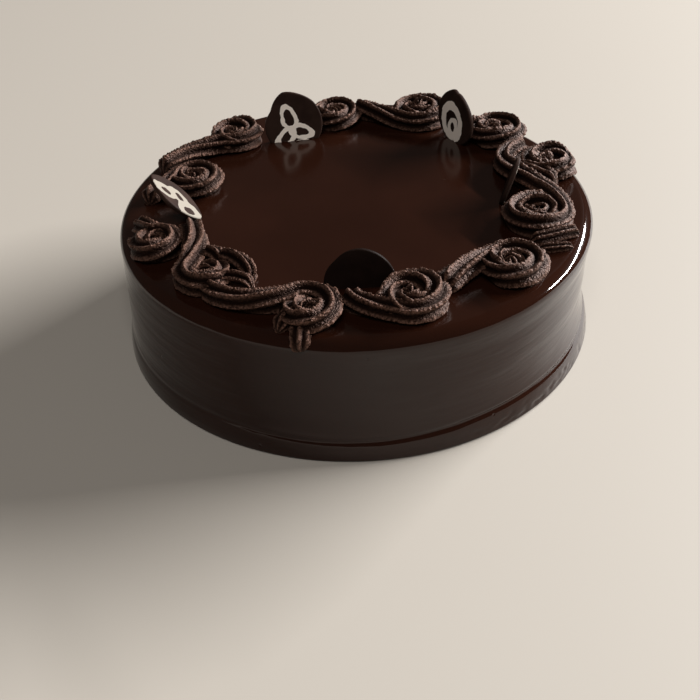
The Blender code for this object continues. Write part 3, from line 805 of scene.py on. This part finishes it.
# %% Loose strands
# Millimetres and degrees: where a strand starts and its heading there, where it ends and its heading
# there, and its width and height.
Strand = namedtuple("Strand", "x y heading to_x to_y to_heading width height")
SCROLL_STRANDS = {
    "scroll_1": (
        Strand(-18.5, -87.0, -110, -21.0, -101.5, -85, 9.0, 5.0),
        Strand(-20.0, -85.0, -165, -29.5, -93.5, -115, 8.0, 7.0),
    ),
    "scroll_12": (
        Strand(-63.0, -62.0, 4, -39.5, -66.0, -45, 7.2, 8.0),
        Strand(-60.5, -41.5, -30, -52.5, -49.5, -60, 7.6, 8.4),
        Strand(-54.0, -46.5, -20, -40.5, -61.0, -75, 8.6, 9.4),
    ),
}
STUB = (
    Strand(69.5, -43.0, 6, 90.5, -36.6, 20, 4.6, 7.0),
    Strand(71.5, -48.0, 4, 86.5, -46.0, 14, 3.6, 4.6),
)
ARCH = (0.26, 0.78)  # the part of a sine arch that a strand's size follows
STRAND_STEPS = 120
STUB_SEED = 9000


def strand_shell(strand, seed):
    """A short rope whose size follows the middle of a sine arch."""
    start, end = (strand.x * MM, strand.y * MM), (strand.to_x * MM, strand.to_y * MM)
    headings = math.radians(strand.heading), math.radians(strand.to_heading)
    path = swing(start, headings[0], end, headings[1], 1.0, STRAND_STEPS)
    places, arch = even_stations(path, np.linspace(*ARCH, STRAND_STEPS))
    size = np.sin(arch * math.pi) ** 0.5
    half = strand.width * MM / 2 * size
    return rope_shell(places, half, half, strand.height * MM * size, 0 * size, seed, 1)


# %% Pipe them all
for number, (name, scroll) in enumerate(SCROLLS.items(), start=1):
    shells = [scroll_shell(scroll, 100 * number), core_shell(scroll)]
    strands = SCROLL_STRANDS.get(name, ())
    shells += [strand_shell(strand, 100 * number + 10 * k) for k, strand in enumerate(strands, start=1)]
    rings, flats = zip(*shells)
    piped = closed_mesh("piped_" + name, rings, PIPING, flats)
    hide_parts(name)
rings, flats = zip(*[strand_shell(strand, STUB_SEED + k) for k, strand in enumerate(STUB)])
stub = closed_mesh("piped_stub", rings, PIPING, flats)
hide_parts("stub")
print("piped", len(SCROLLS), "scrolls, the last with", len(piped.data.polygons), "faces")

# %% [markdown]
# ## The plaques
#
# Each plaque is a thin drop-shaped disc, poured flat and set, so its edge is soft. It could be cut from
# a sheet, but its outline is soft as well, so it is worked out as a circle with a few swells. It is made
# flat, then leaned and turned to its place, and it ends where it meets the glaze.

# %% Plaques
# Millimetres and degrees: the middle, the bearing faced, how far the face looks up, the radius and the
# spin. The last entry lists where the outline swells or is drawn in: how far round from the top, by what
# share of the radius, and over how many degrees.
Plaque = namedtuple("Plaque", "x y z facing upward radius spin swells")
PLAQUES = {
    "plaque_1": Plaque(
        -26.8, 62.5, 63.6, -82, 12, 13.9, 14, ((0, 0.16, 26), (42, -0.12, 24), (-60, 0.03, 20))
    ),
    "plaque_2": Plaque(49.6, 52.5, 67.1, -148, 0, 12.4, -4, ((6, 0.16, 28), (-3, -0.05, 5))),
    "plaque_3": Plaque(-74.8, -6.5, 65.0, 4, 45, 9.1, -13, ((0, 0.57, 36), (180, 0.50, 36))),
    "plaque_4": Plaque(66.9, -3.8, 63.8, -16, -17, 10.0, 0, ((0, 0.16, 34),)),
    "plaque_5": Plaque(
        1.2, -66.0, 58.0, -90, 6, 13.8, -4, ((0, 0.04, 30), (48, -0.05, 20), (-80, 0.02, 20))
    ),
}
PLAQUE_PATTERNS = {
    "plaque_1": "trefoil",
    "plaque_2": "nested",
    "plaque_3": "chain",
    "plaque_4": "chain",
    "plaque_5": "plain",
}
PLAQUE_THICKNESS = 2.0 * MM
PLAQUE_POINTS = 160
SWELL_SHARPNESS = 1.4
PLAQUE_SOFTNESS = 0.6 * MM
FACE_RINGS, EDGE_RINGS = 14, 13
FACE_SPAN = (0.02, 0.9)  # the shares of the outline at which a face's rings begin and end
OFF_PATTERN = 9.0  # a place on the pattern's map that no loop reaches, for the back


def plaque_shell(plaque):
    """Reach = radius x (1 + its swells, each a bell round its own bearing). Rings of that outline, drawn
    in towards the middle, run over the front, round the soft edge and over the back. A point never lies
    lower than the glaze."""
    angle = np.linspace(-math.pi, math.pi, PLAQUE_POINTS, endpoint=False)
    reach = np.full(PLAQUE_POINTS, plaque.radius * MM)
    for at, share, width in plaque.swells:
        off = np.degrees(np.abs(np.angle(np.exp(1j * (angle - math.radians(90 + at))))))
        reach += plaque.radius * MM * share * np.exp(-((off / width) ** SWELL_SHARPNESS))
    turned = angle + math.radians(plaque.spin)
    soft = np.radians(np.linspace(90, -90, EDGE_RINGS))
    inset = PLAQUE_SOFTNESS * (1 - np.cos(soft)) / (plaque.radius * MM)
    half = PLAQUE_THICKNESS / 2
    depth = PLAQUE_SOFTNESS * np.sin(soft) + np.sign(np.sin(soft)) * (half - PLAQUE_SOFTNESS)
    face = np.linspace(*FACE_SPAN, FACE_RINGS)
    shares = np.concatenate([face, 1 - inset, np.linspace(*FACE_SPAN[::-1], FACE_RINGS)])
    depths = np.concatenate([np.full(FACE_RINGS, half), depth, np.full(FACE_RINGS, -half)])
    x = shares[:, None] * reach * np.cos(turned)
    tilt = math.radians(plaque.upward)
    lowest = (HEIGHT - SINK - plaque.z * MM) / math.cos(tilt)
    z = np.maximum(lowest, shares[:, None] * reach * np.sin(turned))
    solid = np.stack([x, -np.broadcast_to(depths[:, None], x.shape), z], axis=-1)
    seen = np.broadcast_to(depths[:, None] > 0, x.shape)[..., None]
    spoke = np.stack([np.cos(angle), np.sin(angle)], axis=-1)
    flat = np.where(seen, shares[:, None, None] * spoke, OFF_PATTERN)
    place = np.array(
        Matrix.Translation((plaque.x * MM, plaque.y * MM, plaque.z * MM))
        @ Matrix.Rotation(math.radians(plaque.facing + 90), 4, "Z")
        @ Matrix.Rotation(math.radians(-plaque.upward), 4, "X")
    )
    return solid @ place[:3, :3].T + place[:3, 3], flat


for name, plaque in PLAQUES.items():
    rings, flat = plaque_shell(plaque)
    disc = closed_mesh("set_" + name, [rings], PLAQUE[PLAQUE_PATTERNS[name]], [flat])
    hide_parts(name)
print("set", len(PLAQUES), "plaques")
